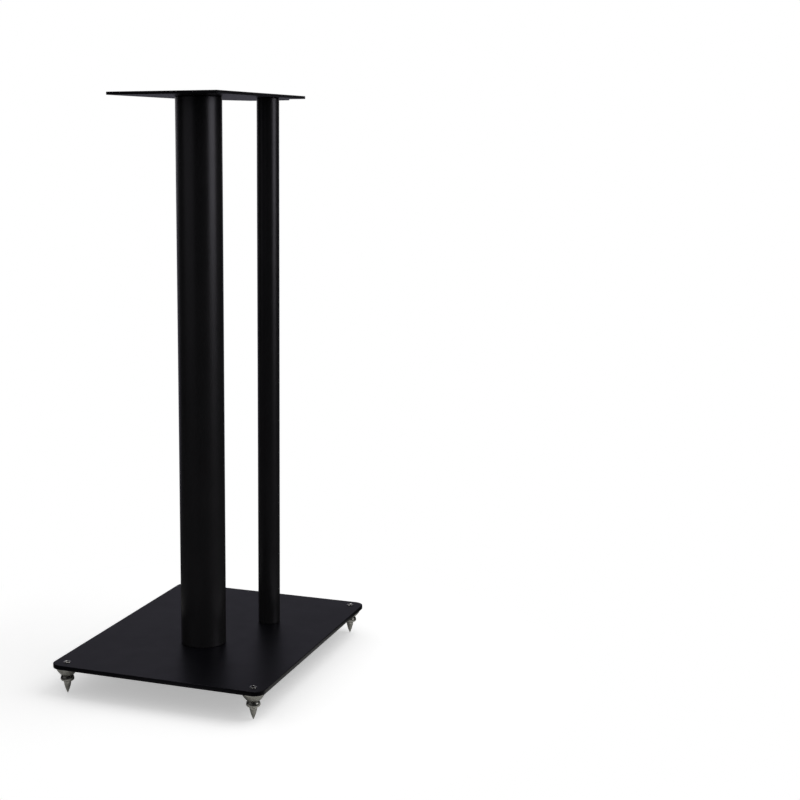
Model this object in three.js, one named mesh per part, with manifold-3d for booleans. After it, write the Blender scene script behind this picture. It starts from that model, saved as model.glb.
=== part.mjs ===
// A floor stand for one loudspeaker, in millimetres, with +Z up and the floor at Z = 0.
// The base stands on four levelling spikes. A thick main column and a thin rear column
// carry the top plate. The front is at -Y, and the origin is on the floor under the
// middle of the base plate.

import * as THREE from 'three';
import { mergeVertices } from 'three/addons/utils/BufferGeometryUtils.js';
import Module from 'manifold-3d';

const wasm = await Module();
wasm.setup();

// ---- Driving dimensions -------------------------------------------------------------

const STAND_HEIGHT = 635; // floor to the upper face of the top plate
const SEAT_GAP = 0.25; // left between two faces that touch
const THREAD_GAP = 0.15; // radial, between a thread and its hole

const BASE_WIDTH = 244;
const BASE_DEPTH = 337;
const BASE_THICKNESS = 4.8;
const BASE_CORNER_RADIUS = 12;
const PLATE_EDGE_BREAK = 0.4; // small chamfer along every plate edge

const TOP_WIDTH = 123;
const TOP_DEPTH = 252.6;
const TOP_CENTRE_Y = -3;
const TOP_THICKNESS = 3.2;
const TOP_CORNER_RADIUS = 1.5;
const TAB_ROOT_WIDTH = 84; // the tab at the back of the top plate
const TAB_TIP_WIDTH = 49;
const TAB_LENGTH = 45.2; // its tip lies in line with the back of the base

const MAIN_COLUMN_RADIUS = 25;
const MAIN_COLUMN_X = 0;
const MAIN_COLUMN_Y = -36;
const REAR_COLUMN_RADIUS = 12.5;
const REAR_COLUMN_X = 41;
const REAR_COLUMN_Y = 59;
const COLUMN_WALL = 1.5;
const PLUG_HEIGHT = 16;

const BOLT_RADIUS = 4; // the hexagon bolt under each column
const BOLT_HEAD_WIDTH = 13; // across flats
const BOLT_HEAD_HEIGHT = 5.3;
const BOLT_HOLE_GAP = 0.4;
const WASHER_RADIUS = 9;
const WASHER_THICKNESS = 1.6;
const SPRING_WASHER_RADIUS = 7;
const SPRING_WASHER_THICKNESS = 2;
const SPRING_WASHER_SLOT = 1.5;

const SCREW_RADIUS = 3; // the countersunk screw above each column
const SCREW_HEAD_RADIUS = 5.7;
const SCREW_SOCKET_WIDTH = 4; // across flats
const SCREW_SOCKET_DEPTH = 2;
const FIXING_GRIP = 12; // how far a screw or bolt reaches into its plug

const SPIKE_INSET = 14.2; // spike axis to the two nearest base edges
const SPIKE_RADIUS = 4;
const SPIKE_POINT_LENGTH = 12;
const SPIKE_POINT_SWELL = 0.45; // how far the point swells past a straight cone
const SPIKE_TIP_RADIUS = 0.25;
const SPIKE_STEM_SHOWING = 2.1; // plain stem between the point and the lock ring
const SPIKE_HEAD_RISE = 0.7; // how far the domed end stands over the base plate
const SPIKE_SOCKET_WIDTH = 4; // across flats
const SPIKE_SOCKET_DEPTH = 5;
const LOCK_RING_RADIUS = 7.45;
const LOCK_RING_HEIGHT = 6.3;
const LOCK_RING_ROUNDING = 2.4; // of its lower edge
const LOCK_RING_TAPER = 1.3; // how much smaller its upper edge is
const LOCK_RING_SWELL = 0.35; // how far its side swells past a straight taper
const COLLAR_TOP_RADIUS = 12.3;
const COLLAR_FOOT_RADIUS = 6.6;
const COLLAR_HEIGHT = 8.7;
const COLLAR_SWELL = 0.7; // how far its side swells past a straight cone
const COLLAR_RIM = 0.8; // straight rim against the plate

const COLUMN_SIDES = 64;
const FIXING_SIDES = 24;
const PLATE_CURVE_STEPS = 7;
const SWELL_STEPS = 5;

// ---- Levels and places worked out from them ------------------------------------------

const LOCK_RING_FOOT = SPIKE_POINT_LENGTH + SPIKE_STEM_SHOWING;
const COLLAR_FOOT = LOCK_RING_FOOT + LOCK_RING_HEIGHT + SEAT_GAP;
const BASE_UNDERSIDE = COLLAR_FOOT + COLLAR_HEIGHT + SEAT_GAP;
const BASE_TOP = BASE_UNDERSIDE + BASE_THICKNESS;
const TOP_UNDERSIDE = STAND_HEIGHT - TOP_THICKNESS;
const COLUMN_FOOT = BASE_TOP + SEAT_GAP;
const COLUMN_HEAD = TOP_UNDERSIDE - SEAT_GAP;
const TOP_BACK_Y = TOP_CENTRE_Y + TOP_DEPTH / 2;
const TAB_TIP_Y = TOP_BACK_Y + TAB_LENGTH;

const COLUMNS = [
  { name: 'main_column', x: MAIN_COLUMN_X, y: MAIN_COLUMN_Y, radius: MAIN_COLUMN_RADIUS },
  { name: 'rear_column', x: REAR_COLUMN_X, y: REAR_COLUMN_Y, radius: REAR_COLUMN_RADIUS },
];

const SPIKE_X = BASE_WIDTH / 2 - SPIKE_INSET;
const SPIKE_Y = BASE_DEPTH / 2 - SPIKE_INSET;
const SPIKES = [
  { name: 'front_left', x: -SPIKE_X, y: -SPIKE_Y },
  { name: 'front_right', x: SPIKE_X, y: -SPIKE_Y },
  { name: 'back_right', x: SPIKE_X, y: SPIKE_Y },
  { name: 'back_left', x: -SPIKE_X, y: SPIKE_Y },
];

// ---- Materials -------------------------------------------------------------------------

const BLACK_PLATE = new THREE.MeshStandardMaterial({ color: 0x1b1b1e, roughness: 0.42, metalness: 0.2 });
const BLACK_TUBE = new THREE.MeshStandardMaterial({ color: 0x0c0c0d, roughness: 0.35, metalness: 0.2 });
const NICKEL = new THREE.MeshStandardMaterial({ color: 0x8d8a80, roughness: 0.3, metalness: 1 });
const ZINC = new THREE.MeshStandardMaterial({ color: 0xa8abae, roughness: 0.35, metalness: 1 });
const BARE_STEEL = new THREE.MeshStandardMaterial({ color: 0x77797b, roughness: 0.45, metalness: 1 });

// ---- Helpers ---------------------------------------------------------------------------

function toSolid(geometry) {
  const bare = geometry.clone();
  bare.deleteAttribute('normal');
  bare.deleteAttribute('uv');
  const merged = mergeVertices(bare, 1e-4);
  return new wasm.Manifold(new wasm.Mesh({
    numProp: 3,
    vertProperties: new Float32Array(merged.attributes.position.array),
    triVerts: new Uint32Array(merged.index.array),
  }));
}

function toGeometry(solid) {
  const mesh = solid.getMesh();
  const geometry = new THREE.BufferGeometry();
  geometry.setAttribute('position', new THREE.BufferAttribute(mesh.vertProperties, 3));
  geometry.setIndex(new THREE.BufferAttribute(mesh.triVerts, 1));
  geometry.computeVertexNormals();
  return geometry;
}

function join(first, second) {
  return toGeometry(toSolid(first).add(toSolid(second)));
}

function cut(body, tools) {
  const solid = tools.reduce((rest, tool) => rest.subtract(toSolid(tool)), toSolid(body));
  return toGeometry(solid);
}

// Turns a closed outline of [radius, z] points about the Z axis.
function lathe(outline, sides = FIXING_SIDES) {
  const points = [...outline, outline[0]].map(([radius, z]) => new THREE.Vector2(radius, z));
  return new THREE.LatheGeometry(points, sides).rotateX(Math.PI / 2);
}

// A ring of rectangular section between two heights.
function tube(outerRadius, innerRadius, foot, head, sides = FIXING_SIDES) {
  return lathe([[innerRadius, foot], [outerRadius, foot], [outerRadius, head], [innerRadius, head]], sides);
}

// A hexagonal prism, measured across its flats, between two heights.
function hexagon(acrossFlats, foot, head) {
  const cornerRadius = acrossFlats / Math.sqrt(3);
  const prism = new THREE.CylinderGeometry(cornerRadius, cornerRadius, head - foot, 6);
  return prism.rotateX(Math.PI / 2).translate(0, 0, (foot + head) / 2);
}

// Points of an arc in the plane of a lathe outline, from one angle to another.
function arcPoints(centreRadius, centreZ, radius, fromAngle, toAngle, steps) {
  return Array.from({ length: steps + 1 }, (_, step) => {
    const angle = fromAngle + (toAngle - fromAngle) * step / steps;
    return [centreRadius + radius * Math.cos(angle), centreZ + radius * Math.sin(angle)];
  });
}

// Points of a cone's side between two [radius, z] ends, swollen outwards in the middle.
function swollenCone([fromRadius, foot], [toRadius, head], swell) {
  return Array.from({ length: SWELL_STEPS + 1 }, (_, step) => {
    const share = step / SWELL_STEPS;
    const radius = fromRadius + (toRadius - fromRadius) * share + swell * Math.sin(Math.PI * share);
    return [radius, foot + (head - foot) * share];
  });
}

function circularHole(x, y, radius) {
  return new THREE.Path().absarc(x, y, radius, 0, 2 * Math.PI, true);
}

// A flat plate with a small chamfer all round, from an outline and its holes.
function plate(outline, holes, thickness, foot) {
  outline.holes.push(...holes);
  const geometry = new THREE.ExtrudeGeometry(outline, {
    depth: thickness - 2 * PLATE_EDGE_BREAK,
    bevelThickness: PLATE_EDGE_BREAK,
    bevelSize: PLATE_EDGE_BREAK,
    bevelOffset: -PLATE_EDGE_BREAK,
    bevelSegments: 1,
    curveSegments: PLATE_CURVE_STEPS,
  });
  return geometry.translate(0, 0, foot + PLATE_EDGE_BREAK);
}

function piece(name, geometry, material, x = 0, y = 0) {
  const mesh = new THREE.Mesh(geometry, material);
  mesh.name = name;
  mesh.position.set(x, y, 0);
  return mesh;
}

// ---- Base plate --------------------------------------------------------------------------

function roundedRectangle(width, depth, radius) {
  const x = width / 2 - radius;
  const y = depth / 2 - radius;
  const quarter = Math.PI / 2;
  const outline = new THREE.Shape();
  outline.absarc(x, y, radius, 0, quarter);
  outline.absarc(-x, y, radius, quarter, 2 * quarter);
  outline.absarc(-x, -y, radius, 2 * quarter, 3 * quarter);
  outline.absarc(x, -y, radius, 3 * quarter, 4 * quarter);
  outline.closePath();
  return outline;
}

function basePlate() {
  const spikeHoles = SPIKES.map(({ x, y }) => circularHole(x, y, SPIKE_RADIUS + THREAD_GAP));
  const boltHoles = COLUMNS.map(({ x, y }) => circularHole(x, y, BOLT_RADIUS + BOLT_HOLE_GAP));
  const outline = roundedRectangle(BASE_WIDTH, BASE_DEPTH, BASE_CORNER_RADIUS);
  const geometry = plate(outline, [...spikeHoles, ...boltHoles], BASE_THICKNESS, BASE_UNDERSIDE);
  return piece('base_plate', geometry, BLACK_PLATE);
}

// ---- Top plate ---------------------------------------------------------------------------

// A rectangle whose back edge runs out into a tab with slanted sides.
function topOutline() {
  const halfWidth = TOP_WIDTH / 2;
  const front = TOP_CENTRE_Y - TOP_DEPTH / 2;
  const radius = TOP_CORNER_RADIUS;
  const quarter = Math.PI / 2;
  const outline = new THREE.Shape();
  outline.absarc(-halfWidth + radius, front + radius, radius, 2 * quarter, 3 * quarter);
  outline.absarc(halfWidth - radius, front + radius, radius, 3 * quarter, 4 * quarter);
  outline.absarc(halfWidth - radius, TOP_BACK_Y - radius, radius, 0, quarter);
  outline.lineTo(TAB_ROOT_WIDTH / 2, TOP_BACK_Y);
  outline.lineTo(TAB_TIP_WIDTH / 2, TAB_TIP_Y);
  outline.lineTo(-TAB_TIP_WIDTH / 2, TAB_TIP_Y);
  outline.lineTo(-TAB_ROOT_WIDTH / 2, TOP_BACK_Y);
  outline.absarc(-halfWidth + radius, TOP_BACK_Y - radius, radius, quarter, 2 * quarter);
  outline.closePath();
  return outline;
}

// The hole for a countersunk screw: a 90 degree cone above a clearance hole.
function countersink(x, y) {
  const mouth = SCREW_HEAD_RADIUS + SEAT_GAP;
  const shank = SCREW_RADIUS + SEAT_GAP;
  const coneFoot = STAND_HEIGHT - (mouth - shank);
  const above = STAND_HEIGHT + TOP_THICKNESS;
  const below = TOP_UNDERSIDE - TOP_THICKNESS;
  const cone = [[shank, coneFoot], [mouth, STAND_HEIGHT]];
  return lathe([[0, below], [shank, below], ...cone, [mouth, above], [0, above]]).translate(x, y, 0);
}

function topPlate() {
  const blank = plate(topOutline(), [], TOP_THICKNESS, TOP_UNDERSIDE);
  const geometry = cut(blank, COLUMNS.map(({ x, y }) => countersink(x, y)));
  return piece('top_plate', geometry, BLACK_PLATE);
}

// ---- Columns, their end plugs and their fixings --------------------------------------------

function columnTube(column) {
  const geometry = tube(column.radius, column.radius - COLUMN_WALL, COLUMN_FOOT, COLUMN_HEAD, COLUMN_SIDES);
  return piece(column.name, geometry, BLACK_TUBE, column.x, column.y);
}

// A threaded steel disc fixed inside one end of a column.
function endPlug(column, end, threadRadius, foot) {
  const outer = column.radius - COLUMN_WALL - THREAD_GAP;
  const geometry = tube(outer, threadRadius + THREAD_GAP, foot, foot + PLUG_HEIGHT);
  return piece(`${column.name}_${end}_plug`, geometry, BARE_STEEL, column.x, column.y);
}

function flatWasher(column) {
  const head = BASE_UNDERSIDE - SEAT_GAP;
  const geometry = tube(WASHER_RADIUS, BOLT_RADIUS + BOLT_HOLE_GAP, head - WASHER_THICKNESS, head);
  return piece(`${column.name}_flat_washer`, geometry, ZINC, column.x, column.y);
}

function springWasher(column) {
  const head = BASE_UNDERSIDE - SEAT_GAP - WASHER_THICKNESS - SEAT_GAP;
  const foot = head - SPRING_WASHER_THICKNESS;
  const ring = tube(SPRING_WASHER_RADIUS, BOLT_RADIUS + THREAD_GAP, foot, head);
  const reach = SPRING_WASHER_RADIUS * 2;
  const slot = new THREE.BoxGeometry(reach, SPRING_WASHER_SLOT, SPRING_WASHER_THICKNESS * 2);
  slot.translate(reach / 2, 0, (foot + head) / 2);
  return piece(`${column.name}_spring_washer`, cut(ring, [slot]), ZINC, column.x, column.y);
}

function hexagonBolt(column) {
  const stack = WASHER_THICKNESS + SPRING_WASHER_THICKNESS + 3 * SEAT_GAP;
  const headTop = BASE_UNDERSIDE - stack;
  const headFoot = headTop - BOLT_HEAD_HEIGHT;
  const shankFoot = (headFoot + headTop) / 2; // inside the head, where the two are joined
  const shankTip = COLUMN_FOOT + FIXING_GRIP;
  const shank = lathe([[0, shankFoot], [BOLT_RADIUS, shankFoot], [BOLT_RADIUS, shankTip], [0, shankTip]]);
  const geometry = join(hexagon(BOLT_HEAD_WIDTH, headFoot, headTop), shank);
  return piece(`${column.name}_bolt`, geometry, ZINC, column.x, column.y);
}

function countersunkScrew(column) {
  const coneFoot = STAND_HEIGHT - (SCREW_HEAD_RADIUS - SCREW_RADIUS);
  const tip = COLUMN_HEAD - FIXING_GRIP;
  const shank = [[0, tip], [SCREW_RADIUS, tip], [SCREW_RADIUS, coneFoot]];
  const body = lathe([...shank, [SCREW_HEAD_RADIUS, STAND_HEIGHT], [0, STAND_HEIGHT]]);
  const socketFoot = STAND_HEIGHT - SCREW_SOCKET_DEPTH;
  const socket = hexagon(SCREW_SOCKET_WIDTH, socketFoot, STAND_HEIGHT + SCREW_SOCKET_DEPTH);
  return piece(`${column.name}_screw`, cut(body, [socket]), BLACK_TUBE, column.x, column.y);
}

// ---- Levelling spikes ------------------------------------------------------------------------

function spike(place) {
  const headTop = BASE_TOP + SPIKE_HEAD_RISE;
  const rounding = arcPoints(SPIKE_RADIUS - SPIKE_HEAD_RISE, BASE_TOP, SPIKE_HEAD_RISE, 0, Math.PI / 2, 2);
  const point = swollenCone([SPIKE_TIP_RADIUS, 0], [SPIKE_RADIUS, SPIKE_POINT_LENGTH], SPIKE_POINT_SWELL);
  const body = lathe([[0, 0], ...point, ...rounding, [0, headTop]]);
  const socket = hexagon(SPIKE_SOCKET_WIDTH, headTop - SPIKE_SOCKET_DEPTH, headTop + SPIKE_SOCKET_DEPTH);
  return piece(`spike_${place.name}`, cut(body, [socket]), NICKEL, place.x, place.y);
}

// The ring that is turned up the spike's thread against the collar to lock it.
function lockRing(place) {
  const bore = SPIKE_RADIUS + THREAD_GAP;
  const head = LOCK_RING_FOOT + LOCK_RING_HEIGHT;
  const headRadius = LOCK_RING_RADIUS - LOCK_RING_TAPER;
  const lower = Math.min(LOCK_RING_ROUNDING, LOCK_RING_RADIUS - bore, LOCK_RING_HEIGHT / 2);
  const sideFoot = LOCK_RING_FOOT + lower;
  const below = arcPoints(LOCK_RING_RADIUS - lower, sideFoot, lower, -Math.PI / 2, 0, 3);
  const side = swollenCone([LOCK_RING_RADIUS, sideFoot], [headRadius, head], LOCK_RING_SWELL);
  const geometry = lathe([[bore, LOCK_RING_FOOT], ...below, ...side.slice(1), [bore, head]]);
  return piece(`lock_ring_${place.name}`, geometry, NICKEL, place.x, place.y);
}

// The threaded cone fixed under the plate, which the spike runs in.
function collar(place) {
  const bore = SPIKE_RADIUS + THREAD_GAP;
  const head = COLLAR_FOOT + COLLAR_HEIGHT;
  const rimFoot = head - COLLAR_RIM;
  const side = swollenCone([COLLAR_FOOT_RADIUS, COLLAR_FOOT], [COLLAR_TOP_RADIUS, rimFoot], COLLAR_SWELL);
  const geometry = lathe([[bore, COLLAR_FOOT], ...side, [COLLAR_TOP_RADIUS, head], [bore, head]]);
  return piece(`collar_${place.name}`, geometry, NICKEL, place.x, place.y);
}

// ---- Assembly ----------------------------------------------------------------------------------

const stand = new THREE.Group();
stand.add(basePlate(), topPlate());

for (const column of COLUMNS) {
  stand.add(
    columnTube(column),
    endPlug(column, 'lower', BOLT_RADIUS, COLUMN_FOOT),
    endPlug(column, 'upper', SCREW_RADIUS, COLUMN_HEAD - PLUG_HEIGHT),
    flatWasher(column),
    springWasher(column),
    hexagonBolt(column),
    countersunkScrew(column),
  );
}

for (const place of SPIKES) {
  stand.add(collar(place), lockRing(place), spike(place));
}

export default stand;
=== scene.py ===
# A floor stand for one loudspeaker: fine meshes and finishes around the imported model,
# in a plain white studio. Lengths are in metres, +Z is up and the front is at -Y.

import math

import bmesh
import bpy
from mathutils import Matrix, Vector
from mathutils.geometry import tessellate_polygon


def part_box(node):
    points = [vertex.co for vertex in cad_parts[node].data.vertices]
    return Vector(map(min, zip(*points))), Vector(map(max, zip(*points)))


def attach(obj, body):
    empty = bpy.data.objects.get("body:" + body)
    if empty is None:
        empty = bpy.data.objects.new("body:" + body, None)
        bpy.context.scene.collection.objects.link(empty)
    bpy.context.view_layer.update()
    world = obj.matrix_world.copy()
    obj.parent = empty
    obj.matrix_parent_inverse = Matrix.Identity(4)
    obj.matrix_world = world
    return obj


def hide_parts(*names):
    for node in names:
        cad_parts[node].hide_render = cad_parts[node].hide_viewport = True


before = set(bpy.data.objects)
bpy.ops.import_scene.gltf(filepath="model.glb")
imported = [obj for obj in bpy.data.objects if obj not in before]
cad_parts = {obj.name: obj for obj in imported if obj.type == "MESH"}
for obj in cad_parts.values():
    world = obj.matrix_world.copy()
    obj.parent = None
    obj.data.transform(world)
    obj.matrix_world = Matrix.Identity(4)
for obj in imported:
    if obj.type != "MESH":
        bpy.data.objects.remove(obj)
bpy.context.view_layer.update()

MM = 0.001
AXIS = 1e-7  # a radius below this lies on the axis
TURN = 2 * math.pi

PLACES = ("front_left", "front_right", "back_right", "back_left")
COLUMNS = ("main_column", "rear_column")

# ---- Camera ----------------------------------------------------------------------------

IMAGE_WIDTH = 800  # pixels, of a square picture
SENSOR_WIDTH = 36  # mm
NEAREST_SEEN = 0.05
FURTHEST_SEEN = 100
FOCAL_PIXELS = 1561.9
CENTRE_PIXEL = 259.1  # where the view axis meets the picture, from its left side
CAMERA_AZIMUTH = math.radians(21.983)
CAMERA_PITCH = math.radians(9.393)
CAMERA_ROLL = math.radians(0.205)
CAMERA_PLACE = (0.68586, -1.56746, 0.58438)


def make_camera():
    data = bpy.data.cameras.new("camera")
    data.sensor_width = SENSOR_WIDTH
    data.lens = SENSOR_WIDTH * FOCAL_PIXELS / IMAGE_WIDTH
    data.shift_x = 0.5 - CENTRE_PIXEL / IMAGE_WIDTH
    data.clip_start = NEAREST_SEEN
    data.clip_end = FURTHEST_SEEN
    camera = bpy.data.objects.new("camera", data)
    bpy.context.scene.collection.objects.link(camera)
    camera.matrix_world = (
        Matrix.Translation(CAMERA_PLACE)
        @ Matrix.Rotation(CAMERA_AZIMUTH, 4, "Z")
        @ Matrix.Rotation(math.radians(90) - CAMERA_PITCH, 4, "X")
        @ Matrix.Rotation(-CAMERA_ROLL, 4, "Z")
    )
    bpy.context.scene.camera = camera


make_camera()

# ---- Outlines and rings ------------------------------------------------------------------

SUPPORT = 0.45 * MM  # a flat or straight stretch has a line of points this far from its ends
SIDES = 60  # of every small turned piece; a multiple of 6, so that hexagons fit
COLUMN_SIDES = 180


def arc_at(before, corner, after, steps):
    """The points of the arc that rounds a corner (x, y, radius) between its neighbours."""
    here, radius = Vector(corner[:2]), corner[2]
    if radius < AXIS:
        return [here]
    to_before = (Vector(before[:2]) - here).normalized()
    to_after = (Vector(after[:2]) - here).normalized()
    half = to_before.angle(to_after) / 2
    centre = here + (to_before + to_after).normalized() * radius / math.sin(half)
    start = here + to_before * radius / math.tan(half) - centre
    end = here + to_after * radius / math.tan(half) - centre
    sweep = math.atan2(start.cross(end), start.dot(end))
    return [centre + Matrix.Rotation(sweep * step / steps, 2) @ start for step in range(steps + 1)]


def rounded(corners, steps=5, closed=True):
    """An outline through corners (x, y, radius), with support points beside each arc."""
    count = len(corners)
    arcs = []
    for place, corner in enumerate(corners):
        at_end = not closed and place in (0, count - 1)
        arcs.append([Vector(corner[:2])] if at_end else
                    arc_at(corners[place - 1], corner, corners[(place + 1) % count], steps))
    outline = []
    for place, arc in enumerate(arcs):
        outline += arc
        if not closed and place == count - 1:
            break
        following = arcs[(place + 1) % count][0]
        stretch = following - arc[-1]
        if stretch.length > 4 * SUPPORT:
            step = stretch.normalized() * SUPPORT
            outline += [arc[-1] + step, following - step]
    return outline


def point_around(centre, radius, angle, height):
    x = centre.x + radius * math.cos(angle)
    y = centre.y + radius * math.sin(angle)
    return Vector((x, y, height))


def circle(centre, radius, height, sides=SIDES):
    """A ring of points; one point where the radius is nothing."""
    if radius < AXIS:
        return [Vector((centre.x, centre.y, height))]
    return [point_around(centre, radius, TURN * k / sides, height) for k in range(sides)]


def hexagon_radius(across_flats, angle):
    """How far a hexagon reaches from its middle in one direction; a corner is at angle 0."""
    sixth = TURN / 6
    return across_flats / 2 / math.cos((angle % sixth) - sixth / 2)


def hexagon(centre, across_flats, height, chamfer_radius=None, slope=0.0):
    """A hexagonal ring. Past chamfer_radius it falls away by slope, as a turned chamfer does."""
    ring = []
    for k in range(SIDES):
        angle = TURN * k / SIDES
        radius = hexagon_radius(across_flats, angle)
        beyond = 0.0 if chamfer_radius is None else max(0.0, radius - chamfer_radius)
        ring.append(point_around(centre, radius, angle, height + slope * beyond))
    return ring


def skin(name, rings, closed):
    """A surface over rings of points; closed joins the last ring to the first."""
    vertices, faces, starts = [], [], []
    for ring in rings:
        starts.append((len(vertices), len(ring)))
        vertices += ring
    pairs = list(zip(starts, starts[1:])) + ([(starts[-1], starts[0])] if closed else [])
    for (low, low_count), (high, high_count) in pairs:
        for k in range(max(low_count, high_count)):
            corners = [low + k % low_count, low + (k + 1) % low_count,
                       high + (k + 1) % high_count, high + k % high_count]
            face = list(dict.fromkeys(corners))
            if len(face) > 2:
                faces.append(face)
    return new_object(name, vertices, faces)


def turned(name, outline, centre, sides=SIDES):
    """Turns a closed outline of (radius, height) points about an upright axis."""
    touches_axis = outline[0][0] < AXIS
    return skin(name, [circle(centre, *point, sides) for point in outline], closed=not touches_axis)


SAME_PLACE = 1e-7  # points closer than this are one
SHARP_ANGLE = math.radians(38)
BEND_ATTRIBUTE = "bend"  # 0 on flat surface, 1 along an edge; the wear follows it
FULL_BEND = math.radians(20)  # the angle between faces at which it reaches 1


def new_object(name, vertices, faces):
    """A smooth mesh with sharp edges where it turns sharply, and its bends stored."""
    mesh = bpy.data.meshes.new(name)
    mesh.from_pydata(vertices, [], faces)
    work = bmesh.new()
    work.from_mesh(mesh)
    bmesh.ops.remove_doubles(work, verts=work.verts, dist=SAME_PLACE)
    bmesh.ops.recalc_face_normals(work, faces=work.faces)
    bend = [max((abs(edge.calc_face_angle(0.0)) for edge in vertex.link_edges), default=0.0)
            for vertex in work.verts]
    work.to_mesh(mesh)
    work.free()
    attribute = mesh.attributes.new(BEND_ATTRIBUTE, "FLOAT", "POINT")
    attribute.data.foreach_set("value", [min(1.0, angle / FULL_BEND) for angle in bend])
    mesh.polygons.foreach_set("use_smooth", [True] * len(mesh.polygons))
    mesh.set_sharp_from_angle(angle=SHARP_ANGLE)
    piece = bpy.data.objects.new(name, mesh)
    bpy.context.scene.collection.objects.link(piece)
    return piece


def extent(node):
    """Lowest corner, highest corner, middle and half the width of a CAD node."""
    low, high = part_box(node)
    low, high = Vector(low), Vector(high)
    return low, high, (low + high) / 2, (high.x - low.x) / 2


# ---- Materials ---------------------------------------------------------------------------

class Nodes:
    """A node tree, with short ways to add and join nodes."""

    def __init__(self, tree):
        self.tree = tree

    def node(self, kind, **settings):
        made = self.tree.nodes.new(kind)
        for key, value in settings.items():
            setattr(made, key, value)
        return made

    def join(self, source, target):
        self.tree.links.new(source, target)

    def ramp(self, value, low, high, to_low=0.0, to_high=1.0):
        """Maps a value from one range to another, smoothly, and holds it there."""
        mapper = self.node("ShaderNodeMapRange", interpolation_type="SMOOTHSTEP")
        ends = {"From Min": low, "From Max": high, "To Min": to_low, "To Max": to_high}
        for socket, number in ends.items():
            mapper.inputs[socket].default_value = number
        self.join(value, mapper.inputs["Value"])
        return mapper.outputs["Result"]

    def math(self, operation, first, second):
        made = self.node("ShaderNodeMath", operation=operation)
        for socket, value in zip(made.inputs, (first, second)):
            if isinstance(value, (int, float)):
                socket.default_value = value
            else:
                self.join(value, socket)
        return made.outputs["Value"]

    def times(self, first, second):
        return self.math("MULTIPLY", first, second)

    def mix(self, factor, first, second):
        """A colour between two, each a colour or a socket."""
        made = self.node("ShaderNodeMix", data_type="RGBA")
        self.join(factor, made.inputs["Factor"])
        colours = [socket for socket in made.inputs if socket.type == "RGBA"]
        for socket, value in zip(colours, (first, second)):
            if isinstance(value, tuple):
                socket.default_value = (*value, 1)
            else:
                self.join(value, socket)
        return next(socket for socket in made.outputs if socket.type == "RGBA")


class Finish(Nodes):
    """One material, whose textures follow the piece."""

    def __init__(self, name):
        self.material = bpy.data.materials.new(name)
        self.material.use_nodes = True
        super().__init__(self.material.node_tree)
        self.shader = self.tree.nodes["Principled BSDF"]
        self.place = self.node("ShaderNodeTexCoord").outputs["Object"]

    def set(self, **values):
        """Sets sockets of the shader; an underscore stands for a space in a socket's name."""
        for key, value in values.items():
            self.shader.inputs[key.replace("_", " ")].default_value = value

    def drive(self, socket, value):
        self.join(value, self.shader.inputs[socket])

    def noise(self, scale, detail=2.0, stretch=(1, 1, 1)):
        """Cloudy noise with features of the given size in metres."""
        mapping = self.node("ShaderNodeMapping")
        mapping.inputs["Scale"].default_value = stretch
        self.join(self.place, mapping.inputs["Vector"])
        texture = self.node("ShaderNodeTexNoise")
        texture.inputs["Scale"].default_value = 1 / scale
        texture.inputs["Detail"].default_value = detail
        self.join(mapping.outputs["Vector"], texture.inputs["Vector"])
        return texture.outputs["Fac"]

    def cells(self, scale):
        """A mosaic with a random colour for each cell."""
        texture = self.node("ShaderNodeTexVoronoi")
        texture.inputs["Scale"].default_value = 1 / scale
        self.join(self.place, texture.inputs["Vector"])
        return texture.outputs["Color"]

    def bend(self):
        """How close to an edge of the piece, from 0 to 1."""
        return self.node("ShaderNodeAttribute", attribute_name=BEND_ATTRIBUTE).outputs["Fac"]

    def bump(self, height, depth, below=None):
        """Raises the surface by up to depth metres, over another bump if there is one."""
        made = self.node("ShaderNodeBump")
        made.inputs["Strength"].default_value = 1.0
        made.inputs["Distance"].default_value = depth
        self.join(height, made.inputs["Height"])
        if below is not None:
            self.join(below, made.inputs["Normal"])
        return made.outputs["Normal"]


def brighter(colour, factor):
    return tuple(min(1.0, part * factor) for part in colour)


COAT_SHEEN = (0.91, 0.88, 1.0, 1.0)  # the coating's gloss is a little violet
COAT_CLOUDS = 60 * MM  # size of the slow changes of tone
COAT_SHEEN_CLOUDS = 22 * MM  # and of the gloss
COAT_UNEVENNESS = 0.015  # of the roughness, either way
COAT_SPECKS = 0.9 * MM
SPECK_STRENGTH = 0.35
SPECK_BRIGHTNESS = 2.2
# The coat's edges turn lighter, partly from rubbed wear and partly as a painted highlight where edges catch
# the light.
WEAR_AND_GLINT_PATCHES = 9 * MM
WEAR_AND_GLINT_STRENGTH = 0.6
WEAR_AND_GLINT_BRIGHTNESS = 2.6
RUBBED_POLISH = 0.08  # how much smoother a rubbed edge is
PEEL_SIZE = 1.6 * MM
PEEL_DEPTH = 0.03 * MM
GRAIN_SIZE = 0.35 * MM
GRAIN_DEPTH = 0.006 * MM


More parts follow.
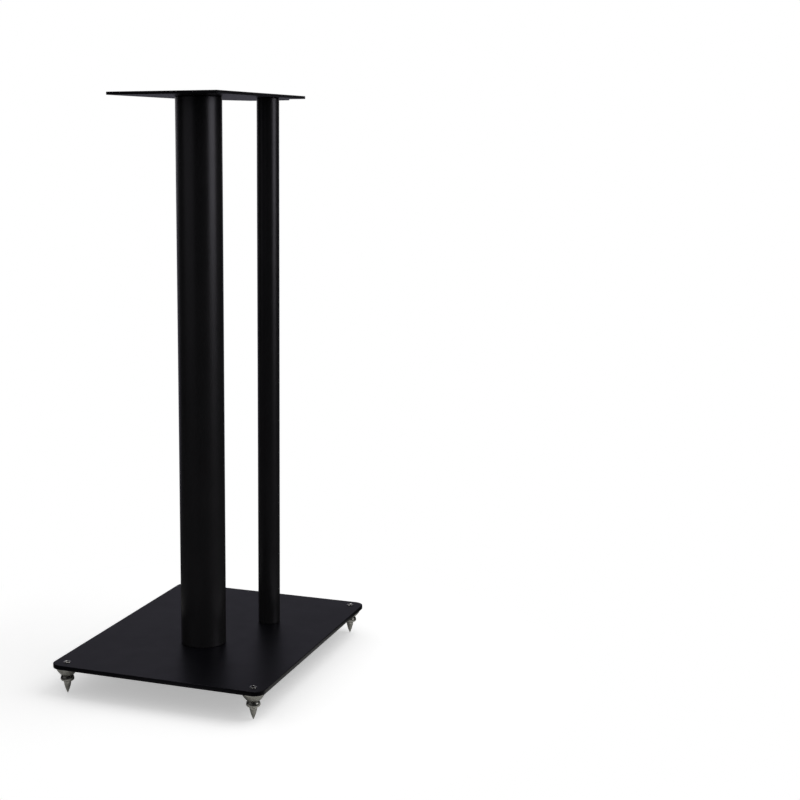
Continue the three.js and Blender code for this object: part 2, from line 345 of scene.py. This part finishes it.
def powder_coat(name, colour, light_colour, roughness, specular):
    """A satin powder coat: fine orange peel, a little grain, and lighter edges, partly worn and partly a
    painted glint.
    """
    coat = Finish(name)
    coat.set(Metallic=0.0, IOR=1.5, Specular_IOR_Level=specular, Specular_Tint=COAT_SHEEN)
    tone = coat.mix(coat.ramp(coat.noise(COAT_CLOUDS, detail=3.0), 0.3, 0.7), colour, light_colour)
    specks = coat.ramp(coat.noise(COAT_SPECKS, detail=4.0), 0.68, 0.74)
    speck_colour = brighter(light_colour, SPECK_BRIGHTNESS)
    tone = coat.mix(coat.times(specks, SPECK_STRENGTH), tone, speck_colour)
    # Painted edge highlight: along the edges the coat turns lighter, partly as rubbed wear and partly as a
    # painted glint.
    patches = coat.ramp(coat.noise(WEAR_AND_GLINT_PATCHES), 0.35, 0.75)
    wear_and_glint = coat.times(coat.ramp(coat.bend(), 0.4, 1.0), patches)
    wear_and_glint_colour = brighter(light_colour, WEAR_AND_GLINT_BRIGHTNESS)
    tone = coat.mix(coat.times(wear_and_glint, WEAR_AND_GLINT_STRENGTH), tone, wear_and_glint_colour)
    coat.drive("Base Color", tone)
    uneven = coat.ramp(coat.noise(COAT_SHEEN_CLOUDS, detail=4.0), 0.25, 0.75,
                       roughness - COAT_UNEVENNESS, roughness + COAT_UNEVENNESS)
    coat.drive("Roughness", coat.math("SUBTRACT", uneven, coat.times(wear_and_glint, RUBBED_POLISH)))
    peel = coat.bump(coat.noise(PEEL_SIZE, detail=1.0), PEEL_DEPTH)
    coat.drive("Normal", coat.bump(coat.noise(GRAIN_SIZE, detail=2.0), GRAIN_DEPTH, peel))
    return coat.material


TARNISH_SIZE = 2.5 * MM
POLISHED_STRENGTH = 0.8
POLISHED_BRIGHTNESS = 2.0
EDGE_POLISH = 0.05  # how much smoother an edge is
SMEAR_SIZE = 1.2 * MM
SMEAR_SMOOTHER = 0.06  # how far smears go below and above the roughness
SMEAR_ROUGHER = 0.08
MARK_STRETCH = (0.02, 0.02, 1.0)  # tool marks run round the upright axis


def turned_metal(name, colour, dark_colour, roughness, mark_pitch, mark_depth):
    """Turned metal: tool marks round the axis, tarnish, and brighter edges."""
    metal = Finish(name)
    metal.set(Metallic=1.0)
    tarnish = metal.ramp(metal.noise(TARNISH_SIZE, detail=4.0), 0.35, 0.7)
    tone = metal.mix(tarnish, colour, dark_colour)
    polished = metal.ramp(metal.bend(), 0.3, 1.0)
    bright_colour = brighter(colour, POLISHED_BRIGHTNESS)
    tone = metal.mix(metal.times(polished, POLISHED_STRENGTH), tone, bright_colour)
    metal.drive("Base Color", tone)
    smears = metal.ramp(metal.noise(SMEAR_SIZE, detail=3.0), 0.3, 0.7,
                        roughness - SMEAR_SMOOTHER, roughness + SMEAR_ROUGHER)
    metal.drive("Roughness", metal.math("SUBTRACT", smears, metal.times(polished, EDGE_POLISH)))
    marks = metal.noise(mark_pitch, detail=2.0, stretch=MARK_STRETCH)
    metal.drive("Normal", metal.bump(marks, mark_depth))
    return metal.material


ZINC_COLD = (0.50, 0.52, 0.55)
ZINC_WARM = (0.60, 0.59, 0.54)
ZINC_DULL = (0.34, 0.34, 0.33)
ZINC_CRYSTALS = 1.1 * MM
ZINC_DULL_PATCHES = 4 * MM
ZINC_DULL_STRENGTH = 0.5
ZINC_RELIEF = 0.5 * MM
ZINC_RELIEF_DEPTH = 0.01 * MM


def zinc_plate(name):
    """Bright zinc: a faint mosaic of crystals with a cold and a warm tint."""
    zinc = Finish(name)
    zinc.set(Metallic=1.0)
    tone = zinc.mix(zinc.ramp(zinc.cells(ZINC_CRYSTALS), 0.2, 0.8), ZINC_COLD, ZINC_WARM)
    dull = zinc.ramp(zinc.noise(ZINC_DULL_PATCHES, detail=4.0), 0.45, 0.7)
    zinc.drive("Base Color", zinc.mix(zinc.times(dull, ZINC_DULL_STRENGTH), tone, ZINC_DULL))
    zinc.drive("Roughness", zinc.ramp(dull, 0.0, 1.0, 0.28, 0.48))
    zinc.drive("Normal", zinc.bump(zinc.noise(ZINC_RELIEF, detail=3.0), ZINC_RELIEF_DEPTH))
    return zinc.material


OXIDE_DARK = (0.016, 0.016, 0.018)
OXIDE_PALE = (0.034, 0.033, 0.034)
BARE_STEEL = (0.22, 0.21, 0.20)
OXIDE_CLOUDS = 2 * MM
OXIDE_WEAR_PATCHES = 1 * MM
OXIDE_SMEARS = 0.7 * MM
OXIDE_RELIEF = 0.25 * MM
OXIDE_RELIEF_DEPTH = 0.004 * MM


def black_oxide(name):
    """Blackened steel, with bare steel showing along the worn edges."""
    oxide = Finish(name)
    oxide.set(Metallic=0.85)
    patches = oxide.ramp(oxide.noise(OXIDE_WEAR_PATCHES), 0.4, 0.7)
    worn = oxide.times(oxide.ramp(oxide.bend(), 0.5, 1.0), patches)
    clouds = oxide.ramp(oxide.noise(OXIDE_CLOUDS, detail=4.0), 0.3, 0.7)
    oxide.drive("Base Color", oxide.mix(worn, oxide.mix(clouds, OXIDE_DARK, OXIDE_PALE), BARE_STEEL))
    smears = oxide.ramp(oxide.noise(OXIDE_SMEARS, detail=3.0), 0.3, 0.7, 0.34, 0.46)
    oxide.drive("Roughness", smears)
    oxide.drive("Normal", oxide.bump(oxide.noise(OXIDE_RELIEF), OXIDE_RELIEF_DEPTH))
    return oxide.material


PLATE_COAT = powder_coat(
    "plate_coat", colour=(0.0022, 0.0021, 0.0030), light_colour=(0.0034, 0.0032, 0.0048),
    roughness=0.38, specular=0.20)
COLUMN_COAT = powder_coat(
    "column_coat", colour=(0.0098, 0.0096, 0.0099), light_colour=(0.0126, 0.0124, 0.0128),
    roughness=0.33, specular=0.80)
SPIKE_METAL = turned_metal(
    "spike_metal", colour=(0.44, 0.433, 0.407), dark_colour=(0.35, 0.343, 0.319),
    roughness=0.26, mark_pitch=0.2 * MM, mark_depth=0.002 * MM)
PLUG_METAL = turned_metal(
    "plug_metal", colour=(0.36, 0.36, 0.36), dark_colour=(0.24, 0.235, 0.23),
    roughness=0.42, mark_pitch=0.4 * MM, mark_depth=0.012 * MM)
FIXING_METAL = zinc_plate("fixing_metal")
SCREW_METAL = black_oxide("screw_metal")


def finish_piece(piece, node, body, material):
    """Gives a piece its material, hides the CAD node it stands for, and hangs it on the body it rides with.
    """
    piece.data.materials.append(material)
    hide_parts(node)
    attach(piece, body)


# ---- Plates --------------------------------------------------------------------------------

PLATE_EDGE = 0.6 * MM  # rounding of the coated edges
EDGE_STEPS = 4
THREAD_GAP = 0.15 * MM
BASE_CORNER = 12 * MM
TOP_CORNER = 1.5 * MM
BASE_CORNER_STEPS = 16
TOP_CORNER_STEPS = 6
HOLE_SIDES = 60
BOLT_HOLE_RADIUS = 4.4 * MM


def inset(outline, distance):
    """The outline moved inwards; it runs anticlockwise."""
    moved = []
    for before, here, after in zip(outline[-1:] + outline[:-1], outline, outline[1:] + outline[:1]):
        along_in, along_out = (here - before).normalized(), (after - here).normalized()
        normal_in = Vector((-along_in.y, along_in.x))
        normal_out = Vector((-along_out.y, along_out.x))
        middle = (normal_in + normal_out).normalized()
        moved.append(here + middle * distance / middle.dot(normal_in))
    return moved


def edge_profile(thickness, radius):
    """(inset, height) points of a plate's rounded edge, from its upper to its lower face."""
    angles = [math.pi / 2 * step / EDGE_STEPS for step in range(EDGE_STEPS + 1)]
    quarter = [(radius - radius * math.sin(angle), radius - radius * math.cos(angle)) for angle in angles]
    upper = [(inwards, thickness - down) for inwards, down in quarter]
    lower = [(inwards, down) for inwards, down in reversed(quarter)]
    return [(radius + SUPPORT, thickness), *upper, *lower, (radius + SUPPORT, 0.0)]


def plate(name, outline, holes, foot, thickness):
    """A plate with rounded edges. Each hole is a list of rings from the upper to the lower face."""
    vertices, faces = [], []

    def add_ring(ring):
        start = len(vertices)
        vertices.extend(ring)
        return list(range(start, len(vertices)))

    def add_wall(rings):
        loops = [add_ring(ring) for ring in rings]
        for upper, lower in zip(loops, loops[1:]):
            for k in range(len(upper)):
                after = (k + 1) % len(upper)
                faces.append((upper[k], upper[after], lower[after], lower[k]))
        return loops[0], loops[-1]

    outer = [[Vector((*point, foot + height)) for point in inset(outline, distance)]
             for distance, height in edge_profile(thickness, PLATE_EDGE)]
    ends = [add_wall(rings) for rings in [outer, *holes]]
    for side in (0, 1):
        loops = [end[side] for end in ends]
        flat = [index for loop in loops for index in loop]
        for triangle in tessellate_polygon([[vertices[index] for index in loop] for loop in loops]):
            faces.append(tuple(flat[k] for k in triangle))
    return new_object(name, vertices, faces)


def plain_hole(centre, radius, foot, thickness):
    """A drilled hole whose edges the coating rounds."""
    return [circle(centre, radius + distance, foot + height, HOLE_SIDES)
            for distance, height in edge_profile(thickness, PLATE_EDGE / 2)]


def make_base_plate():
    low, high, _, _ = extent("base_plate")
    corners = [(low.x, low.y), (high.x, low.y), (high.x, high.y), (low.x, high.y)]
    outline = rounded([(x, y, BASE_CORNER) for x, y in corners], BASE_CORNER_STEPS)
    thickness = high.z - low.z
    holes = []
    for place in PLACES:
        _, _, centre, radius = extent(f"spike_{place}")
        holes.append(plain_hole(centre, radius + THREAD_GAP, low.z, thickness))
    for column in COLUMNS:
        holes.append(plain_hole(extent(column)[2], BOLT_HOLE_RADIUS, low.z, thickness))
    piece = plate("base_plate_coated", outline, holes, low.z, thickness)
    finish_piece(piece, "base_plate", "stand", PLATE_COAT)


TOP_WIDTH = extent("top_plate")[3] * 2
TOP_DEPTH = 252.6 * MM
TAB_ROOT_WIDTH = 84 * MM
TAB_TIP_WIDTH = 49 * MM
SCREW_HOLE_RADIUS = 3.25 * MM
SEAT_GAP = 0.25 * MM
COUNTERSINK_EDGE = 0.2 * MM
COUNTERSINK_STEPS = 3


def countersunk_hole(centre, mouth, foot, thickness):
    """A 90 degree cone above a clearance hole."""
    head = foot + thickness
    cone_foot = head - (mouth - SCREW_HOLE_RADIUS)
    corners = [(mouth + 2 * SUPPORT, head, 0), (mouth, head, COUNTERSINK_EDGE),
               (SCREW_HOLE_RADIUS, cone_foot, COUNTERSINK_EDGE),
               (SCREW_HOLE_RADIUS, foot, COUNTERSINK_EDGE), (SCREW_HOLE_RADIUS + 2 * SUPPORT, foot, 0)]
    outline = rounded(corners, COUNTERSINK_STEPS, closed=False)
    return [circle(centre, *point, HOLE_SIDES) for point in outline]


def make_top_plate():
    low, high, _, _ = extent("top_plate")
    back = low.y + TOP_DEPTH
    left, right = -TOP_WIDTH / 2, TOP_WIDTH / 2
    corners = [
        (left, low.y, TOP_CORNER), (right, low.y, TOP_CORNER), (right, back, TOP_CORNER),
        (TAB_ROOT_WIDTH / 2, back, TOP_CORNER), (TAB_TIP_WIDTH / 2, high.y, TOP_CORNER),
        (-TAB_TIP_WIDTH / 2, high.y, TOP_CORNER), (-TAB_ROOT_WIDTH / 2, back, TOP_CORNER),
        (left, back, TOP_CORNER),
    ]
    holes = []
    for column in COLUMNS:
        _, _, centre, radius = extent(f"{column}_screw")
        holes.append(countersunk_hole(centre, radius + SEAT_GAP, low.z, high.z - low.z))
    outline = rounded(corners, TOP_CORNER_STEPS)
    piece = plate("top_plate_coated", outline, holes, low.z, high.z - low.z)
    finish_piece(piece, "top_plate", "stand", PLATE_COAT)


make_base_plate()
make_top_plate()

# ---- Columns and their fixings ---------------------------------------------------------------

COLUMN_WALL = 1.5 * MM
COLUMN_EDGE = 0.35 * MM
FIXING_EDGE = 0.25 * MM
BOLT_RADIUS = 4 * MM
BOLT_HEAD_WIDTH = 13 * MM
BOLT_HEAD_HEIGHT = 5.3 * MM
BOLT_CHAMFER = 0.94  # radius of the round face, as a share of half the head's width
CHAMFER_SLOPE = math.tan(math.radians(30))
BOLT_THREAD_PITCH = 1.25 * MM
SCREW_RADIUS = 3 * MM
SCREW_THREAD_PITCH = 1.0 * MM
SCREW_SOCKET_WIDTH = 4 * MM
SCREW_SOCKET_DEPTH = 2 * MM
SPRING_WASHER_BORE = 4.15 * MM
SPRING_WASHER_SLOT = 1.5 * MM
SPRING_WASHER_LEAN = 0.3  # of the slot's width, from its lower to its upper end
BOLT_TIP = 0.8 * MM
BOLT_PLAIN = 2 * MM  # without thread under the head
SCREW_TIP = 0.6 * MM
SCREW_PLAIN = 1 * MM
DRILLED_SHARE = 0.98  # of a socket's half width, at the edge of its drilled bottom
THREAD_DEPTH_SHARE = 0.55  # of the pitch
THREAD_STEPS = 12  # rings in one pitch
GROOVE_FLOOR = 1.15  # above 1, the groove has a flat floor
GROOVE_SLOPE = 1.3


def thread(centre, radius, pitch, foot, head):
    """Rings of a helical thread between two heights, fading out towards each end."""
    count = round((head - foot) / pitch * THREAD_STEPS)
    rings = []
    for step in range(count + 1):
        height = foot + (head - foot) * step / count
        fade = min(1.0, (height - foot) / pitch, (head - height) / pitch)
        ring = []
        for k in range(SIDES):
            angle = TURN * k / SIDES
            phase = (height / pitch - k / SIDES) % 1.0
            groove = min(1.0, max(0.0, GROOVE_FLOOR - abs(2 * phase - 1) * GROOVE_SLOPE))
            reach = radius - THREAD_DEPTH_SHARE * pitch * fade * groove
            ring.append(point_around(centre, reach, angle, height))
        rings.append(ring)
    return rings


def tube_outline(outer, bore, foot, head, edge):
    """The rounded section of a tube, a ring or a washer."""
    return rounded([(bore, foot, edge), (outer, foot, edge), (outer, head, edge), (bore, head, edge)])


def make_column(node):
    low, high, centre, radius = extent(node)
    outline = tube_outline(radius, radius - COLUMN_WALL, low.z, high.z, COLUMN_EDGE)
    piece = turned(f"{node}_coated", outline, centre, COLUMN_SIDES)
    finish_piece(piece, node, "stand", COLUMN_COAT)


def make_flat_washer(column):
    node = f"{column}_flat_washer"
    low, high, centre, radius = extent(node)
    outline = tube_outline(radius, BOLT_HOLE_RADIUS, low.z, high.z, FIXING_EDGE)
    piece = turned(f"{node}_plated", outline, centre)
    finish_piece(piece, node, "stand", FIXING_METAL)


def make_spring_washer(column):
    """A square section bent round, with a slanted gap where its ends meet."""
    node = f"{column}_spring_washer"
    low, high, _, _ = extent(node)
    centre = extent(column)[2]
    radius = centre.x - low.x
    section = tube_outline(radius, SPRING_WASHER_BORE, low.z, high.z, FIXING_EDGE)
    half_gap = SPRING_WASHER_SLOT / 2 / radius
    middle = (low.z + high.z) / 2
    slant = SPRING_WASHER_SLOT * SPRING_WASHER_LEAN / (high.z - low.z)
    vertices = []
    for k in range(SIDES + 1):
        share = k / SIDES
        for across, height in section:
            lean = slant * (height - middle) / radius * (1 - 2 * share)
            angle = half_gap + (TURN - 2 * half_gap) * share + lean * abs(1 - 2 * share)
            vertices.append(point_around(centre, across, angle, height))
    count = len(section)
    faces = [tuple(range(count)), tuple(range(len(vertices) - count, len(vertices)))]
    for row in range(0, SIDES * count, count):
        for k in range(count):
            after = (k + 1) % count
            faces.append((row + k, row + after, row + count + after, row + count + k))
    piece = new_object(f"{node}_plated", vertices, faces)
    finish_piece(piece, node, "stand", FIXING_METAL)


def make_bolt(column):
    """A hexagon bolt, head down, with a turned chamfer under the head."""
    node = f"{column}_bolt"
    low, high, _, _ = extent(node)
    centre = extent(column)[2]
    head_top = low.z + BOLT_HEAD_HEIGHT
    face = BOLT_CHAMFER * BOLT_HEAD_WIDTH / 2
    rings = [
        circle(centre, 0, low.z),
        circle(centre, face - SUPPORT, low.z),
        circle(centre, face, low.z),
        hexagon(centre, BOLT_HEAD_WIDTH, low.z, face, CHAMFER_SLOPE),
        hexagon(centre, BOLT_HEAD_WIDTH, head_top - FIXING_EDGE),
        hexagon(centre, BOLT_HEAD_WIDTH - FIXING_EDGE, head_top),
        circle(centre, BOLT_RADIUS + FIXING_EDGE, head_top),
        circle(centre, BOLT_RADIUS, head_top + FIXING_EDGE),
        *thread(centre, BOLT_RADIUS, BOLT_THREAD_PITCH, head_top + BOLT_PLAIN, high.z - BOLT_TIP),
        circle(centre, BOLT_RADIUS - BOLT_TIP / 2, high.z),
        circle(centre, 0, high.z),
    ]
    piece = skin(f"{node}_plated", rings, closed=False)
    finish_piece(piece, node, "stand", FIXING_METAL)


def socket_rings(centre, across_flats, head, depth):
    """A hexagon socket with a bevelled mouth and a drilled bottom, from its mouth down."""
    corner = across_flats / math.sqrt(3)
    foot = head - depth
    return [
        circle(centre, corner + 2 * FIXING_EDGE, head),
        circle(centre, corner + FIXING_EDGE, head),
        hexagon(centre, across_flats, head - FIXING_EDGE),
        hexagon(centre, across_flats, head - 2 * FIXING_EDGE),
        hexagon(centre, across_flats, foot + FIXING_EDGE),
        circle(centre, across_flats / 2 * DRILLED_SHARE, foot + FIXING_EDGE),
        circle(centre, 0, foot),
    ]


def make_screw(column):
    """A countersunk screw, flush with the top plate."""
    node = f"{column}_screw"
    low, high, centre, radius = extent(node)
    cone_foot = high.z - (radius - SCREW_RADIUS)
    rings = [
        circle(centre, 0, low.z),
        circle(centre, SCREW_RADIUS - SCREW_TIP, low.z),
        *thread(centre, SCREW_RADIUS, SCREW_THREAD_PITCH, low.z + SCREW_TIP, cone_foot - SCREW_PLAIN),
        circle(centre, SCREW_RADIUS, cone_foot - FIXING_EDGE),
        circle(centre, SCREW_RADIUS + FIXING_EDGE, cone_foot + FIXING_EDGE),
        circle(centre, radius - FIXING_EDGE, high.z - FIXING_EDGE),
        circle(centre, radius - FIXING_EDGE / 2, high.z - FIXING_EDGE / 2),
        circle(centre, radius - FIXING_EDGE, high.z),
        circle(centre, radius - 3 * FIXING_EDGE, high.z),
        *socket_rings(centre, SCREW_SOCKET_WIDTH, high.z, SCREW_SOCKET_DEPTH),
    ]
    piece = skin(f"{node}_blackened", rings, closed=False)
    finish_piece(piece, node, "stand", SCREW_METAL)


def coat_plug(node):
    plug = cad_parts[node]
    plug.data.materials.clear()
    plug.data.materials.append(PLUG_METAL)


for column in COLUMNS:
    make_column(column)
    make_flat_washer(column)
    make_spring_washer(column)
    make_bolt(column)
    make_screw(column)
    coat_plug(f"{column}_lower_plug")
    coat_plug(f"{column}_upper_plug")

# ---- Spikes, lock rings and collars -------------------------------------------------------------

SPIKE_POINT_LENGTH = 12 * MM
SPIKE_POINT_SWELL = 0.45 * MM  # how far the point swells past a straight cone
SPIKE_TIP_RADIUS = 0.25 * MM
SPIKE_HEAD_RISE = 0.7 * MM
SPIKE_THREAD_PITCH = 1.25 * MM
SPIKE_SOCKET_WIDTH = 4 * MM
SPIKE_SOCKET_DEPTH = 5 * MM
SWELL_STEPS = 14
DOME_STEPS = 5
METAL_EDGE = 0.3 * MM
LOCK_RING_ROUNDING = 2.4 * MM  # of its lower edge
LOCK_RING_STEPS = 8
LOCK_RING_TAPER = 1.3 * MM  # how much smaller its upper edge is
LOCK_RING_SWELL = 0.35 * MM  # how far its side swells past a straight taper
COLLAR_FOOT_RADIUS = 6.6 * MM
COLLAR_SWELL = 0.7 * MM
COLLAR_RIM = 0.8 * MM


def swollen_cone(start, end, swell):
    """(radius, height) points of a cone's side between two ends, swollen in the middle."""
    points = []
    for step in range(SWELL_STEPS + 1):
        share = step / SWELL_STEPS
        radius = start[0] + (end[0] - start[0]) * share + swell * math.sin(math.pi * share)
        points.append((radius, start[1] + (end[1] - start[1]) * share))
    return points


def make_spike(place):
    """A threaded stud with a turned point below and a hexagon socket above."""
    node = f"spike_{place}"
    low, high, centre, radius = extent(node)
    dome_foot = high.z - SPIKE_HEAD_RISE
    point_head = low.z + SPIKE_POINT_LENGTH
    tip = (SPIKE_TIP_RADIUS, low.z + SPIKE_TIP_RADIUS)
    point = swollen_cone(tip, (radius, point_head), SPIKE_POINT_SWELL)
    rings = [circle(centre, 0, low.z), *(circle(centre, *ring) for ring in point)]
    thread_foot = extent(f"lock_ring_{place}")[0].z
    rings += thread(centre, radius, SPIKE_THREAD_PITCH, thread_foot, dome_foot)
    for step in range(1, DOME_STEPS + 1):
        angle = math.pi / 2 * step / DOME_STEPS
        reach = radius - SPIKE_HEAD_RISE * (1 - math.cos(angle))
        rings.append(circle(centre, reach, dome_foot + SPIKE_HEAD_RISE * math.sin(angle)))
    rings += socket_rings(centre, SPIKE_SOCKET_WIDTH, high.z, SPIKE_SOCKET_DEPTH)
    finish_piece(skin(f"{node}_turned", rings, closed=False), node, node, SPIKE_METAL)


def make_lock_ring(place):
    node = f"lock_ring_{place}"
    low, high, centre, radius = extent(node)
    bore = extent(f"spike_{place}")[3] + THREAD_GAP
    side_foot = low.z + LOCK_RING_ROUNDING
    side = swollen_cone((radius, side_foot), (radius - LOCK_RING_TAPER, high.z), LOCK_RING_SWELL)
    outline = rounded([(bore, low.z, METAL_EDGE), (radius, low.z, LOCK_RING_ROUNDING),
                       *((*ring, 0) for ring in side[:-1]),
                       (*side[-1], METAL_EDGE / 2), (bore, high.z, METAL_EDGE)], LOCK_RING_STEPS)
    finish_piece(turned(f"{node}_turned", outline, centre), node, node, SPIKE_METAL)


def make_collar(place):
    node = f"collar_{place}"
    low, high, centre, radius = extent(node)
    bore = extent(f"spike_{place}")[3] + THREAD_GAP
    side = swollen_cone((COLLAR_FOOT_RADIUS, low.z), (radius, high.z - COLLAR_RIM), COLLAR_SWELL)
    outline = rounded([(bore, low.z, METAL_EDGE), (*side[0], METAL_EDGE), *((*ring, 0) for ring in side[1:]),
                       (radius, high.z, METAL_EDGE / 3), (bore, high.z, METAL_EDGE)])
    finish_piece(turned(f"{node}_turned", outline, centre), node, "stand", SPIKE_METAL)


for place in PLACES:
    make_spike(place)
    make_lock_ring(place)
    make_collar(place)

# ---- Studio ------------------------------------------------------------------------------------

FLOOR_SIZE = 60.0
FLOOR_COLOUR = (0.98, 0.98, 0.98)
FLOOR_BELOW = (0.72, 0.72, 0.69)  # its colour to all but the camera, close under the stand
FLOOR_MIRRORED = (0.030, 0.030, 0.030)  # the same around the stand
BELOW_REACH = (0.20, 0.27)  # distances from the origin over which the one turns into the other
FLOOR_GLOW = 0.40  # added where the camera sees the floor
SHADOW_REACH = (0.26, 0.42)  # distances over which the floor that the camera sees turns plain white
FLOOR_END = (0.4, 1.4)  # distances over which the floor in reflections turns into the studio
HORIZON_BAND = (0.0, 0.06)  # sine of the elevation over which reflections lose the white wall
STUDIO_DARK = (0.195, 0.190, 0.232)  # what reflections find above the wall and beyond the floor
STUDIO_FRONT = (0.012, 0.012, 0.013)  # the same away from the wall
TO_WALL = (-0.5, 0.87, 0.0)  # the direction of the white wall that reflections find
WALL_SIDE = (0.6, 0.95)  # cosine of the angle from there, over which the front turns into it
AMBIENT = (0.46, 0.46, 0.46)  # the fill light of the room
WHITE = (1.0, 1.0, 1.0)


def seen_by_camera(shading):
    return shading.node("ShaderNodeLightPath").outputs["Is Camera Ray"]


def reflected(shading):
    """1 for what is seen in a reflection or through glass, and 0 for the rest."""
    path = shading.node("ShaderNodeLightPath")
    return shading.math("MAXIMUM", path.outputs["Is Glossy Ray"], path.outputs["Is Transmission Ray"])


def towards_wall(shading, vector):
    """How far a place or a direction lies towards the wall."""
    product = shading.node("ShaderNodeVectorMath", operation="DOT_PRODUCT")
    shading.join(vector, product.inputs[0])
    product.inputs[1].default_value = TO_WALL
    return product.outputs["Value"]


def studio_beyond(shading, cosine):
    """The dark studio, by the cosine of the angle from the wall."""
    behind = shading.ramp(cosine, *WALL_SIDE)
    return behind, shading.mix(behind, STUDIO_FRONT, STUDIO_DARK)


def distance_on_floor(paint):
    length = paint.node("ShaderNodeVectorMath", operation="LENGTH")
    paint.join(paint.place, length.inputs[0])
    return length.outputs["Value"]


def near_floor(paint, distance):
    """A matt floor that keeps the shadow, and glows a little to the camera."""
    paint.set(Roughness=1.0, Specular_IOR_Level=0.0)
    unseen = paint.mix(paint.ramp(distance, *BELOW_REACH), FLOOR_BELOW, FLOOR_MIRRORED)
    paint.drive("Base Color", paint.mix(seen_by_camera(paint), unseen, FLOOR_COLOUR))
    glow = paint.node("ShaderNodeEmission")
    paint.join(paint.times(seen_by_camera(paint), FLOOR_GLOW), glow.inputs["Strength"])
    near = paint.node("ShaderNodeAddShader")
    paint.join(paint.shader.outputs["BSDF"], near.inputs[0])
    paint.join(glow.outputs["Emission"], near.inputs[1])
    return near.outputs["Shader"]


def far_floor(paint, distance):
    """Plain white to the camera; in reflections the floor, and further out the studio."""
    cosine = paint.math("DIVIDE", towards_wall(paint, paint.place), distance)
    _, dark = studio_beyond(paint, cosine)
    mirrored = paint.mix(paint.ramp(distance, *FLOOR_END), FLOOR_MIRRORED, dark)
    light = paint.node("ShaderNodeEmission")
    paint.join(paint.mix(seen_by_camera(paint), mirrored, WHITE), light.inputs["Color"])
    return light.outputs["Emission"]


def make_floor():
    bpy.ops.mesh.primitive_plane_add(size=FLOOR_SIZE)
    floor = bpy.context.active_object
    floor.name = "floor"
    paint = Finish("floor_paint")
    distance = distance_on_floor(paint)
    seen = paint.math("MAXIMUM", seen_by_camera(paint), reflected(paint))
    blend = paint.node("ShaderNodeMixShader")
    paint.join(paint.times(seen, paint.ramp(distance, *SHADOW_REACH)), blend.inputs["Fac"])
    paint.join(near_floor(paint, distance), blend.inputs[1])
    paint.join(far_floor(paint, distance), blend.inputs[2])
    paint.join(blend.outputs["Shader"], paint.tree.nodes["Material Output"].inputs["Surface"])
    floor.data.materials.append(paint.material)


def make_world():
    """White to the camera, a white wall low down in reflections, and a soft fill elsewhere."""
    world = bpy.data.worlds.new("studio")
    world.use_nodes = True
    bpy.context.scene.world = world
    sky = Nodes(world.node_tree)
    direction = sky.node("ShaderNodeTexCoord").outputs["Generated"]
    apart = sky.node("ShaderNodeSeparateXYZ")
    sky.join(direction, apart.inputs["Vector"])
    behind, dark = studio_beyond(sky, towards_wall(sky, direction))
    wall = sky.times(behind, sky.ramp(apart.outputs["Z"], *HORIZON_BAND, 1.0, 0.0))
    unseen = sky.mix(reflected(sky), AMBIENT, sky.mix(wall, dark, WHITE))
    sky.join(sky.mix(seen_by_camera(sky), unseen, WHITE), sky.tree.nodes["Background"].inputs["Color"])


def soft_box(name, place, target, width, height, radiance, in_gloss):
    """A lamp that only gloss reflects, or one that lights all else; equally bright all over."""
    data = bpy.data.lights.new(name, "AREA")
    data.shape = "RECTANGLE"
    data.size = width
    data.size_y = height
    data.energy = radiance * math.pi * width * height
    lamp = bpy.data.objects.new(name, data)
    bpy.context.scene.collection.objects.link(lamp)
    lamp.location = place
    lamp.rotation_euler = (Vector(target) - Vector(place)).to_track_quat("-Z", "Y").to_euler()
    lamp.visible_camera = False
    lamp.visible_diffuse = not in_gloss
    lamp.visible_glossy = in_gloss


make_floor()
make_world()
soft_box("overhead", place=(1.15, 0.5, 1.95), target=(0, 0, 0),
         width=2.0, height=2.0, radiance=1.28, in_gloss=False)
soft_box("right_side", place=(2.1, -0.02, 0.70), target=(0, 0, 0.70),
         width=1.25, height=0.66, radiance=1.44, in_gloss=True)
soft_box("left_side", place=(-1.05, -1.82, 0.88), target=(0, 0, 0.88),
         width=2.0, height=1.3, radiance=0.15, in_gloss=True)
soft_box("back_top", place=(-0.5, 0.87, 1.75), target=(0, 0, 0),
         width=0.7, height=0.7, radiance=2.4, in_gloss=True)

bpy.context.scene.view_settings.view_transform = "Standard"
